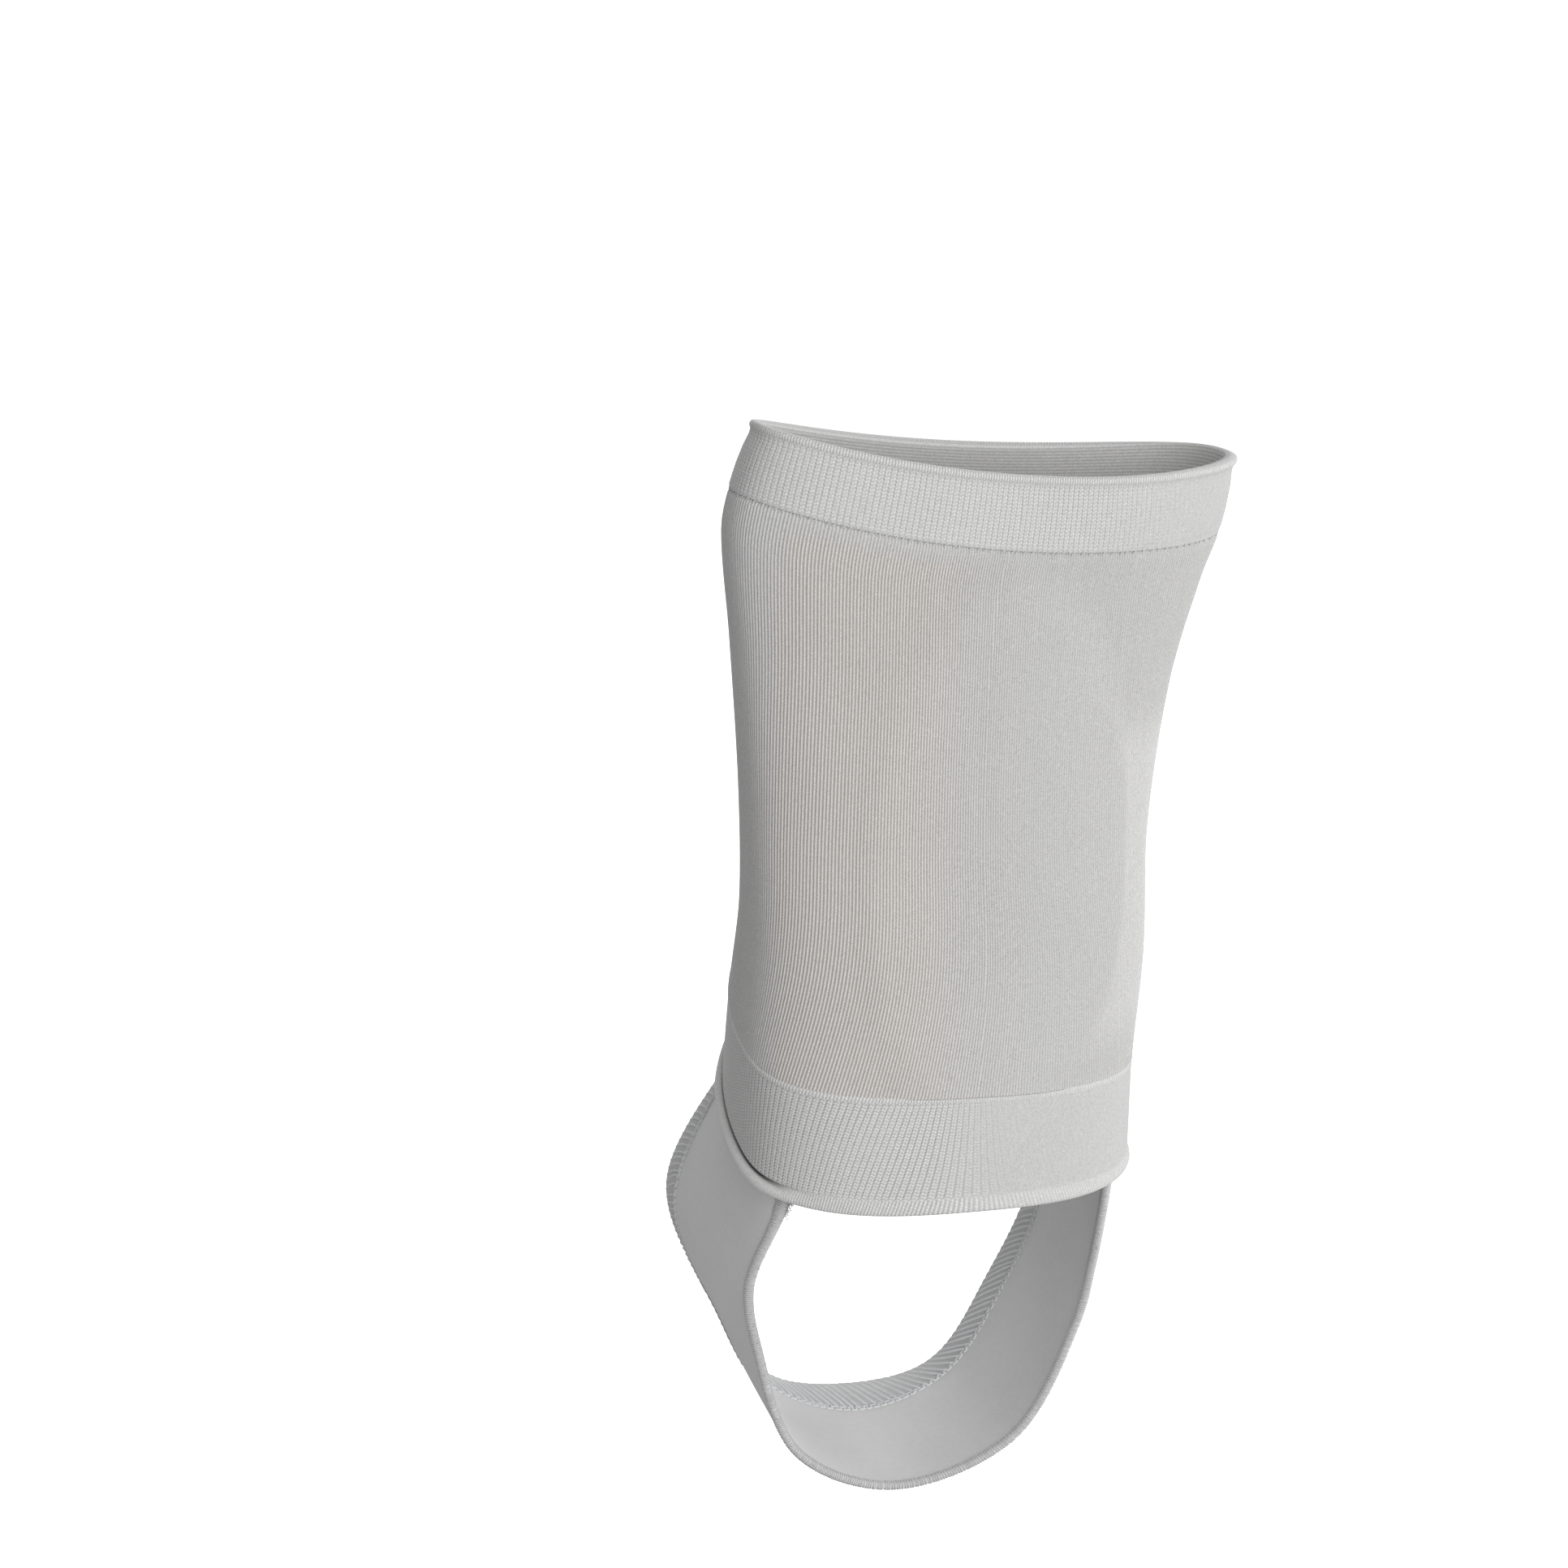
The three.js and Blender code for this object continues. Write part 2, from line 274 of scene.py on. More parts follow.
def skin(turn, z):
    """Points of the outer face. turn runs from the big-toe side over the instep and round the sole."""
    angle = 2 * np.pi * turn
    on_sole = np.sin(angle) < 0
    power = 2 / np.where(on_sole, SOLE_SQUARENESS, INSTEP_SQUARENESS)
    across = np.sign(np.cos(angle)) * np.abs(np.cos(angle)) ** power
    up = np.sign(np.sin(angle)) * np.abs(np.sin(angle)) ** power
    columns = (column(name, z) for name in SECTION_COLUMNS[1:])
    rise, lean, sag, lateral, medial, sole, wide, top, ridge = columns
    x = (lateral + medial) / 2 + across * (medial - lateral) / 2 + ridge * np.maximum(up, 0) ** 2
    y = wide + up * np.where(on_sole, wide - sole, top - wide)
    climb = np.maximum((y - sole) / (top - sole), 0) ** CLIMB_POWER
    return np.stack([x, y, z + lean * x + sag * x * x + rise * climb], axis=-1)


SOLE_TURN = 0.75
WALK_STEPS = 720
WALK_Z = np.arange(HEEL_END - 3, TOE_END + 4)


def walks():
    """Turns at even shares of the girth for every millimetre along the sole, and the girths there."""
    turns = SOLE_TURN + np.linspace(0, 1, WALK_STEPS + 1)
    rings = skin(turns[None, :], np.repeat(WALK_Z[:, None], WALK_STEPS + 1, axis=1))
    steps = np.linalg.norm(np.diff(rings, axis=1), axis=2)
    along = np.pad(np.cumsum(steps, axis=1), ((0, 0), (1, 0)))
    shares = np.linspace(0, 1, WALK_STEPS + 1)
    table = np.array([np.interp(shares, row / row[-1], turns) for row in along])
    return table, along[:, -1]


TURN_TABLE, GIRTHS = walks()


def girth_at(z):
    return np.interp(z, WALK_Z, GIRTHS)


def turn_at(share, z):
    row = np.clip(z - WALK_Z[0], 0, len(WALK_Z) - 1.001)
    place = (share % 1) * WALK_STEPS
    r = row.astype(int)
    c = np.minimum(place.astype(int), WALK_STEPS - 1)
    down = row - r
    over = place - c
    near = TURN_TABLE[r, c] * (1 - over) + TURN_TABLE[r, c + 1] * over
    far = TURN_TABLE[r + 1, c] * (1 - over) + TURN_TABLE[r + 1, c + 1] * over
    return near * (1 - down) + far * down


TURN_NUDGE = 0.002
LENGTH_NUDGE = 1


def face(share, z, out=0.0):
    """Points that stand out from the outer face, at shares of the girth from the middle of the sole."""
    places = (np.asarray(value, float) for value in (share, z, out))
    share, z, out = np.broadcast_arrays(*places)
    turn = turn_at(share, z)
    round_it = skin(turn + TURN_NUDGE, z) - skin(turn - TURN_NUDGE, z)
    along = skin(turn, z + LENGTH_NUDGE) - skin(turn, z - LENGTH_NUDGE)
    return skin(turn, z) + unit(np.cross(round_it, along)) * out[..., None]


def round_from_sole(share, z):
    """Millimetres round the girth from the middle of the sole, towards the big-toe side."""
    return ((share + 0.5) % 1 - 0.5) * girth_at(z)


def stretched(share, z):
    """How far the knit is stretched open: fully on the outer side of the sole."""
    place = round_from_sole(share, z)
    opening = smoothstep(place, STRETCHED["opens"], STRETCHED["open"])
    closing = 1 - smoothstep(place, STRETCHED["closes"], STRETCHED["closed"])
    return STRETCHED["least"] * (1 - opening) * (place < 0) + opening * closing


def pad_cover(share, z):
    """1 where the gel pad lies behind the knit, fading to 0 past its edge, and 1 along the arch, where the
    edge is sharp and where the knit beside the pad is made paler as painted light on the side towards the
    side lamp."""
    across = round_from_sole(share, z)
    up = (z - PAD["middle_z"]) / (PAD["length"] / 2)
    half_width = PAD["width"] / 2 * (1 - PAD["taper"] * up)
    side = (across - PAD["across"] - PAD["lean"] * up) / half_width
    arch = smoothstep(side, *ARCH["begins"]) * (1 - smoothstep(share, *ARCH["ends"]))
    arch = arch * smoothstep(z, *ARCH["heel_end"]) * (1 - smoothstep(z, *ARCH["toe_end"]))
    begins = PAD_FADE["begins"] + PAD_FADE["arch_begins"] * arch
    ends = PAD_FADE["ends"] - PAD_FADE["arch_ends"] * arch
    return 1 - smoothstep(np.hypot(up, side), begins, ends), arch


# Meshes

def add_mesh(name, points, quads, material, yarn=None, **marks):
    """A smooth mesh of quads. yarn gives each corner its stitch column and row, marks each point a value."""
    mesh = bpy.data.meshes.new(name)
    mesh.vertices.add(len(points))
    mesh.vertices.foreach_set("co", (points * MM).ravel())
    mesh.loops.add(quads.size)
    mesh.loops.foreach_set("vertex_index", quads.ravel())
    mesh.polygons.add(len(quads))
    mesh.polygons.foreach_set("loop_start", np.arange(0, quads.size, 4))
    mesh.update(calc_edges=True)
    mesh.polygons.foreach_set("use_smooth", np.ones(len(quads), dtype=bool))
    if yarn is not None:
        mesh.uv_layers.new(name="yarn").data.foreach_set("uv", yarn.ravel())
    for mark, values in marks.items():
        mesh.attributes.new(mark, "FLOAT", "POINT").data.foreach_set("value", values.ravel())
    mesh.materials.append(material)
    piece = bpy.data.objects.new(name, mesh)
    bpy.context.collection.objects.link(piece)
    return piece


def ring_quads(rows, size, closed=True):
    """Quads between neighbouring loops of points. Where closed, the last loop meets the first."""
    bands = rows if closed else rows - 1
    r, c = np.meshgrid(np.arange(bands), np.arange(size), indexing="ij")
    right = (c + 1) % size
    onward = (r + 1) % rows
    quads = [r * size + c, r * size + right, onward * size + right, onward * size + c]
    return np.stack(quads, axis=-1).reshape(-1, 4)


def ring_yarn(numbers, wrap, courses):
    """Stitch column and row at the corners of ring_quads, where a loop closes at the column numbered wrap."""
    left = np.broadcast_to(numbers, (len(courses), len(numbers)))
    right = np.broadcast_to(np.append(numbers[1:], wrap), left.shape)
    low = np.broadcast_to(courses[:, None], left.shape)
    high = np.broadcast_to(np.append(courses[1:], courses[-1] + 1)[:, None], left.shape)
    corners = [np.stack(pair, axis=-1) for pair in ((left, low), (right, low), (right, high), (left, high))]
    return np.stack(corners, axis=2).reshape(-1, 2)


def cap_quads(loop):
    """Quads that fill a loop with an even number of points."""
    n = len(loop)
    k = np.arange(n // 2 - 1)
    return loop[np.stack([k, k + 1, n - 2 - k, n - 1 - k], axis=-1)]


THREAD_SIDES = 6
THREAD_TIP = 0.45


def threads(name, paths, beside, radius, material):
    """Closed round threads along paths of equal point counts. beside is never in line with a path."""
    count, steps = paths.shape[:2]
    along = unit(np.gradient(paths, axis=1))
    side = unit(np.cross(along, np.broadcast_to(beside, paths.shape)))
    up = np.cross(side, along)
    taper = np.ones(steps)
    taper[[0, -1]] = THREAD_TIP
    angles = 2 * np.pi * np.arange(THREAD_SIDES) / THREAD_SIDES
    reach = (np.asarray(radius) * taper)[..., None, None]
    spokes = np.cos(angles)[:, None] * side[:, :, None, :] + np.sin(angles)[:, None] * up[:, :, None, :]
    points = paths[:, :, None, :] + reach * spokes
    tube = ring_quads(steps, THREAD_SIDES, closed=False)
    first = cap_quads(np.arange(THREAD_SIDES))[:, ::-1]
    last = cap_quads(np.arange(THREAD_SIDES) + (steps - 1) * THREAD_SIDES)
    one = np.concatenate([tube, first, last])
    quads = one[None, :, :] + (np.arange(count) * steps * THREAD_SIDES)[:, None, None]
    return add_mesh(name, points.reshape(-1, 3), quads.reshape(-1, 4), material)


# Materials

class Shader:
    """A node material under construction. Each call adds a node and returns its output.

    Roughness is a mean that finish varies over the surface, and the other constants are sockets by name.
    """

    def __init__(self, name, roughness, **constants):
        self.material = bpy.data.materials.new(name)
        self.material.use_nodes = True
        self.tree = self.material.node_tree
        self.surface = self.tree.nodes["Principled BSDF"]
        self.surface.inputs["Roughness"].default_value = roughness
        for socket, value in constants.items():
            self.surface.inputs[socket.replace("_", " ")].default_value = value

    def add(self, kind, output=0, settings=None, **inputs):
        made = self.tree.nodes.new(kind)
        for key, value in (settings or {}).items():
            setattr(made, key, value)
        for key, value in inputs.items():
            self.feed(made.inputs[int(key[1:]) if key[1:].isdigit() else key.replace("_", " ")], value)
        return made.outputs[output]

    def feed(self, socket, value):
        if isinstance(value, bpy.types.NodeSocket):
            self.tree.links.new(value, socket)
        else:
            socket.default_value = value

    def math(self, operation, a, b=0.0, c=0.0):
        return self.add("ShaderNodeMath", settings=dict(operation=operation), _0=a, _1=b, _2=c)

    def swing(self, place, turns=1):
        """Runs between 1 at whole numbers of turns and -1 half way."""
        return self.math("COSINE", self.math("MULTIPLY", place, 2 * math.pi * turns))

    def wave(self, place, turns=1):
        """Runs between 1 at whole numbers of turns and 0 half way."""
        return self.math("MULTIPLY_ADD", self.swing(place, turns), 0.5, 0.5)

    def product(self, a, b):
        return self.math("MULTIPLY", a, b)

    def blend(self, share, first, second):
        settings = dict(data_type="FLOAT")
        return self.add("ShaderNodeMix", settings=settings, _0=share, _2=first, _3=second)

    def colours(self, share, first, second):
        node = self.tree.nodes.new("ShaderNodeMix")
        node.data_type = "RGBA"
        self.feed(node.inputs["Factor"], share)
        self.feed(node.inputs[6], first if isinstance(first, bpy.types.NodeSocket) else (*first, 1))
        self.feed(node.inputs[7], second if isinstance(second, bpy.types.NodeSocket) else (*second, 1))
        return node.outputs[2]

    def shade(self, colour, amount):
        """The colour made lighter or darker by an amount about 1."""
        node = self.tree.nodes.new("ShaderNodeVectorMath")
        node.operation = "SCALE"
        self.feed(node.inputs[0], colour)
        self.feed(node.inputs["Scale"], amount)
        return node.outputs[0]

    def yarn(self):
        """Stitch column and row."""
        uv = self.add("ShaderNodeUVMap", settings=dict(uv_map="yarn"))
        split = self.tree.nodes.new("ShaderNodeSeparateXYZ")
        self.feed(split.inputs[0], uv)
        return split.outputs[0], split.outputs[1]

    def mark(self, name):
        return self.add("ShaderNodeAttribute", output="Fac", settings=dict(attribute_name=name))

    def noise(self, size, detail=2.0):
        """Cloudy noise with spots of about the given size in millimetres."""
        place = self.add("ShaderNodeTexCoord", output="Object")
        scale = 0.5 / (size * MM)
        return self.add("ShaderNodeTexNoise", output="Fac", Vector=place, Scale=scale, Detail=detail)

    def span(self, value, low, high):
        return self.math("MULTIPLY_ADD", value, high - low, low)

    def bump(self, height, depth):
        made = self.add("ShaderNodeBump", Height=height, Distance=depth * MM, Strength=1.0)
        self.feed(self.surface.inputs["Normal"], made)

    def finish(self, colour, roughness):
        self.feed(self.surface.inputs["Base Color"], colour)
        self.feed(self.surface.inputs["Roughness"], roughness)
        return self.material


def grey(level, warmth=0.0):
    """A linear grey, a little warm or cool."""
    return (level * (1 + warmth), level, level * (1 - warmth))


YARN_SHEEN = dict(Sheen_Weight=0.25, Sheen_Roughness=0.5, Specular_IOR_Level=0.25)
YARN_ROUGHNESS = (0.75, 0.95)
YARN_BUMP = 0.05
FUZZ = dict(size=0.3, detail=3.0)
CLOUD = (0.96, 1.04)
# Knit tones: the groove grey is partly painted shade, and the brightening beside the pad is painted light.
KNIT = dict(
    stitch=(0.8, 1.0), closed=(0.4, 0.78), inside=(0.4, 0.7),
    evened=0.6, evening_spot=0.5, evening=(0.6, 0.1),
    groove=0.34, cool=0.01, warm=0.06, cool_rope=(0.67, 0.006), warm_rope=(0.69, 0.032), warm_power=3.0,
    speck_spot=0.15, speck=(0.72, 1.28), cloud_spot=14, painted_side_light=(1.0, 1.13),
)


def knit_material():
    """Plain knit: light ropes of stitches with darker, warmer grooves, closer and evener over the pad. The
    grooves' dark is partly the yarn between the wales and partly painted shade, and the knit beside the pad
    along the arch is made paler as painted light.
    """
    s = Shader("knit", roughness=0.85, **YARN_SHEEN)
    column_place, row_place = s.yarn()
    wale = s.wave(column_place)
    stitch = s.wave(s.math("MULTIPLY_ADD", column_place, 0.5, row_place))
    rope = s.product(wale, s.span(stitch, *KNIT["stitch"]))
    shown = s.blend(s.mark("stretched"), s.span(rope, *KNIT["closed"]), rope)
    uneven = s.product(s.noise(KNIT["evening_spot"]), s.span(s.mark("stretched"), *KNIT["evening"]))
    shown = s.blend(uneven, shown, KNIT["evened"])
    shown = s.blend(s.mark("inside"), shown, s.span(rope, *KNIT["inside"]))
    # The grooves are darker partly from the yarn between the wales and partly as painted shade in the
    # recesses.
    cool = s.colours(shown, grey(KNIT["groove"], KNIT["cool"]), grey(*KNIT["cool_rope"]))
    warm = s.colours(shown, grey(KNIT["groove"], KNIT["warm"]), grey(*KNIT["warm_rope"]))
    yarn_tone = s.colours(s.math("POWER", s.mark("stretched"), KNIT["warm_power"]), cool, warm)
    speck = s.span(s.noise(KNIT["speck_spot"]), *KNIT["speck"])
    cloud = s.span(s.noise(KNIT["cloud_spot"]), *CLOUD)
    # Painted light: the knit beside the pad along the arch, towards the side lamp, is made paler.
    paler = s.span(s.mark("painted_side_light"), *KNIT["painted_side_light"])
    tone = s.shade(yarn_tone, s.product(s.product(speck, cloud), paler))
    s.bump(s.math("ADD", rope, s.noise(**FUZZ)), YARN_BUMP)
    return s.finish(tone, s.span(s.noise(3), *YARN_ROUGHNESS))


# Mesh tones: sunk is the dark grey of the painted shade in the crease under the rolled hem.
MESH = dict(
    bead=(0.62, 1.0), sharp=4.0, slit=(0.95, 0.2), groove=0.3, closing=0.92, uneven_spot=5, evened=0.72,
    closed=0.64, fine=(0.46, 0.98), smooths=0.65, sleek=0.76, inside=(0.55, 0.8),
    dark=0.12, light=(0.78, 0.006), sunk=0.06, speck_spot=0.18, speck=(0.76, 1.24), cloud_spot=12,
)


def cuff_material(name, evened):
    """Mesh knit: pairs of beaded wales with slits between the pairs, and fine ribs on the hems, with painted
    shade darkening the crease under the rolled hem. evened is the range of how far the slits and beads fade."""
    s = Shader(name, roughness=0.85, **YARN_SHEEN)
    column_place, row_place = s.yarn()
    bead = s.span(s.wave(s.math("ADD", column_place, row_place)), *MESH["bead"])
    slit = s.math("POWER", s.wave(s.math("ADD", column_place, 0.5)), MESH["sharp"])
    slit = s.product(slit, s.span(s.wave(row_place), *MESH["slit"]))
    groove = s.product(s.math("POWER", s.wave(column_place), MESH["sharp"]), MESH["groove"])
    mesh = s.product(bead, s.math("SUBTRACT", 1.0, s.math("ADD", slit, groove)))
    closed = s.product(s.mark("closed"), MESH["closing"])
    faded = s.blend(s.span(s.noise(MESH["uneven_spot"]), *evened), mesh, MESH["evened"])
    mesh = s.blend(closed, faded, MESH["closed"])
    fine = s.span(s.product(s.wave(column_place, turns=2), bead), *MESH["fine"])
    smooth = s.math("MAXIMUM", s.mark("sleek"), s.product(closed, MESH["smooths"]))
    fine = s.blend(smooth, fine, MESH["sleek"])
    shown = s.blend(s.mark("ribbed"), mesh, fine)
    shown = s.blend(s.mark("inside"), shown, s.span(s.wave(row_place), *MESH["inside"]))
    yarn_tone = s.colours(shown, grey(MESH["dark"]), grey(*MESH["light"]))
    # Painted shade: the crease under the rolled hem is darkened towards a near-black grey.
    yarn_tone = s.colours(s.mark("sunk"), yarn_tone, grey(MESH["sunk"]))
    speck = s.span(s.noise(MESH["speck_spot"]), *MESH["speck"])
    cloud = s.span(s.noise(MESH["cloud_spot"]), *CLOUD)
    tone = s.shade(yarn_tone, s.product(speck, cloud))
    s.bump(s.math("ADD", shown, s.noise(**FUZZ)), YARN_BUMP)
    return s.finish(tone, s.span(s.noise(3), *YARN_ROUGHNESS))


# Jersey tones: the grey for the cloth under the overlocked edges is painted shade between the threads.
JERSEY = dict(
    cloud_spot=18, speck_spot=0.5, uneven=(0.95, 1.05), fine=(0.96, 1.02), tone_spot=6, dark=(0.67, -0.002),
    light=(0.73, 0.002), bound=0.57, bump=0.02, roughness=(0.5, 0.7),
)


def strap_material():
    """Smooth satin jersey with very fine lines of stitches, darkened under the overlocked edges as painted
    shade between the threads.
    """
    sheen = dict(Sheen_Weight=0.35, Sheen_Roughness=0.35, Specular_IOR_Level=0.35)
    s = Shader("strap", roughness=0.6, **sheen)
    column_place, row_place = s.yarn()
    line = s.wave(column_place)
    stitch = s.wave(s.math("MULTIPLY_ADD", column_place, 0.5, row_place))
    cloud = s.span(s.noise(JERSEY["cloud_spot"]), *JERSEY["uneven"])
    speck = s.span(s.noise(JERSEY["speck_spot"]), *JERSEY["uneven"])
    fine = s.span(s.product(line, stitch), *JERSEY["fine"])
    plain = s.colours(s.noise(JERSEY["tone_spot"]), grey(*JERSEY["dark"]), grey(*JERSEY["light"]))
    # Painted shade: the cloth under the overlock's rungs is darkened.
    plain = s.colours(s.mark("bound"), plain, grey(JERSEY["bound"]))
    tone = s.shade(plain, s.product(s.product(cloud, speck), fine))
    s.bump(s.math("ADD", s.product(line, stitch), s.noise(0.3)), JERSEY["bump"])
    return s.finish(tone, s.span(s.noise(4), *JERSEY["roughness"]))


SPUN = dict(
    strand=dict(size=0.5, detail=3.0), twist=dict(size=0.12, detail=3.0), cloud_spot=6, uneven=(0.92, 1.08),
    bump=0.04, rough_spot=1.0, roughness=(0.7, 0.9),
)


def thread_material(name, dark, light):
    """Spun thread with a fine uneven twist."""
    s = Shader(name, roughness=0.8, Sheen_Weight=0.3, Sheen_Roughness=0.5, Specular_IOR_Level=0.25)
    tone = s.colours(s.noise(**SPUN["strand"]), dark, light)
    tone = s.shade(tone, s.span(s.noise(SPUN["cloud_spot"]), *SPUN["uneven"]))
    s.bump(s.noise(**SPUN["twist"]), SPUN["bump"])
    return s.finish(tone, s.span(s.noise(SPUN["rough_spot"]), *SPUN["roughness"]))


GEL = dict(
    dark=(0.74, 0.71, 0.64), light=(0.82, 0.79, 0.73), uneven=(0.97, 1.03), bump=0.05, roughness=(0.28, 0.45),
)


def gel_material():
    """Soft moulded gel, satin and a little see-through."""
    see_through = dict(Subsurface_Weight=0.4, Subsurface_Scale=0.004, IOR=1.42, Coat_Weight=0.15)
    s = Shader("gel", roughness=0.35, **see_through)
    tone = s.colours(s.noise(9), GEL["dark"], GEL["light"])
    tone = s.shade(tone, s.span(s.noise(1.2), *GEL["uneven"]))
    s.bump(s.math("ADD", s.noise(5), s.noise(0.8)), GEL["bump"])
    return s.finish(tone, s.span(s.noise(4), *GEL["roughness"]))


# The knit: where its columns stand

def crowded(numbers, count, crowd, strengths):
    """Shares of the girth where stitch columns stand, with a row of them for each crowding strength."""
    shares = np.linspace(-0.5, 0.5, CROWD_STEPS)
    away = ((shares - crowd["middle"]) / crowd["spread"]) ** 2
    nearness = (1 - crowd["rebound"] * away) * np.exp(-away)
    rows = []
    for strength in strengths.ravel():
        density = 1 + strength * nearness
        reached = np.cumsum(density) - density[0]
        rows.append(np.interp(numbers, reached / reached[-1] * count, shares))
    return np.array(rows)


def body_shares(numbers, z):
    eases_from, swings_from = BODY_CROWD["eases_from"], BODY_CROWD["swings_from"]
    sunk = np.clip((eases_from - z) / (eases_from - REAR_SEAM), 0, None)
    risen = np.clip((z - swings_from) / (FRONT_SEAM - swings_from), 0, None)
    strengths = BODY_CROWD["strength"] * (1 - BODY_CROWD["eased"] * sunk ** 2)
    return crowded(numbers, WALES, BODY_CROWD, strengths) - BODY_CROWD["swing"] * risen ** 2 / girth_at(z)


def front_shares(numbers, z):
    twist = FRONT_CROWD["twist"] * (FRONT_SEAM - z) / girth_at(z)
    strengths = np.full_like(z, FRONT_CROWD["strength"])
    return crowded(numbers, FRONT_COLUMNS, FRONT_CROWD, strengths) + twist


def rear_shares(numbers, z):
    up = (z - HEEL_END) / REAR_CUFF_LENGTH
    strengths = REAR_CROWD["hem"] * (1 - up) + REAR_CROWD["seam"] * up
    return crowded(numbers, REAR_COLUMNS, REAR_CROWD, strengths)


def swing(place):
    return np.cos(2 * np.pi * place)


# The knitted body

def sleeve_body(material):
    """The knitted tube: an outer face with a ridge for each wale, and a plain inner face."""
    numbers = np.arange(WALES * POINTS_PER_WALE) / POINTS_PER_WALE
    low = REAR_SEAM + GAP / 2
    high = FRONT_SEAM + GAP / 3
    edges = np.array(BODY_EDGE_ROWS)
    rows = round((high - low) / BODY_ROW)
    z = np.concatenate([low + edges, np.linspace(low, high, rows)[1:-1], high - edges[::-1]])[:, None]
    share = body_shares(numbers, z)
    cover, arch = pad_cover(share, z)
    strength = np.repeat(RANDOM.uniform(*WALE_UNEVEN, WALES), POINTS_PER_WALE)
    from_front = high - z
    from_rear = z - low
    least = STRETCH_OFF_SEAM["least"]
    off_seam = least + (1 - least) * smoothstep(from_front, *STRETCH_OFF_SEAM["fades"])
    height = WALE_HEIGHT * strength * (1 - PAD_FLATTENS_WALES * cover) * smoothstep(from_rear, *WALES_RISE)
    front_tuck = TUCK["front"] * (1 - smoothstep(from_front, *TUCK["fades"]))
    rear_tuck = TUCK["rear"] * (1 - smoothstep(from_rear, *TUCK["fades"]))
    wales = height * (WALE_SHAPE["wave"] * swing(numbers) - WALE_SHAPE["sunk"])
    out = PAD_SWELL * cover + wales - front_tuck - rear_tuck
    outer = face(share, z, out)
    inner_z = np.linspace(high, low, BODY_INNER_ROWS)[:, None]
    inner = face(body_shares(numbers, inner_z), inner_z, -KNIT_WALL)
    courses = np.concatenate([z.ravel(), inner_z.ravel()]) / COURSE
    points = np.concatenate([outer, inner])
    marks = dict(
        stretched=np.concatenate([stretched(share, z) * off_seam, np.zeros(inner.shape[:2])]),
        inside=np.concatenate([np.zeros(outer.shape[:2]), np.ones(inner.shape[:2])]),
        # Painted light beside the pad along the arch, on the side towards the side lamp
        painted_side_light=np.concatenate([(1 - cover) * arch, np.zeros(inner.shape[:2])]),
    )
    quads = ring_quads(len(points), len(numbers))
    yarn = ring_yarn(numbers, WALES, courses)
    return add_mesh("sleeve_body_knit", points.reshape(-1, 3), quads, material, yarn, **marks)


# The cuffs

def roll_amount(share, z):
    """How much the hem rolls outwards: not under the sole, fully on the outer side and a little elsewhere."""
    place = round_from_sole(share, z)
    lateral = (place < 0) * (1 - smoothstep(-place, *ROLL_EASES))
    strength = ROLL_LEAST + (1 - ROLL_LEAST) * lateral
    return smoothstep(np.abs(place), ROLL_BEGINS, ROLL_FULL) * strength


def mesh_relief(numbers, row):
    """Two wales in each column, a groove between them and pin-holes in the groove between columns."""
    wales = MESH_WAVES["column"] * swing(numbers) - MESH_WAVES["wale"] * swing(2 * numbers)
    return wales + MESH_WAVES["row"] * swing(row) - MESH_WAVES["slant"] * swing(numbers + row)


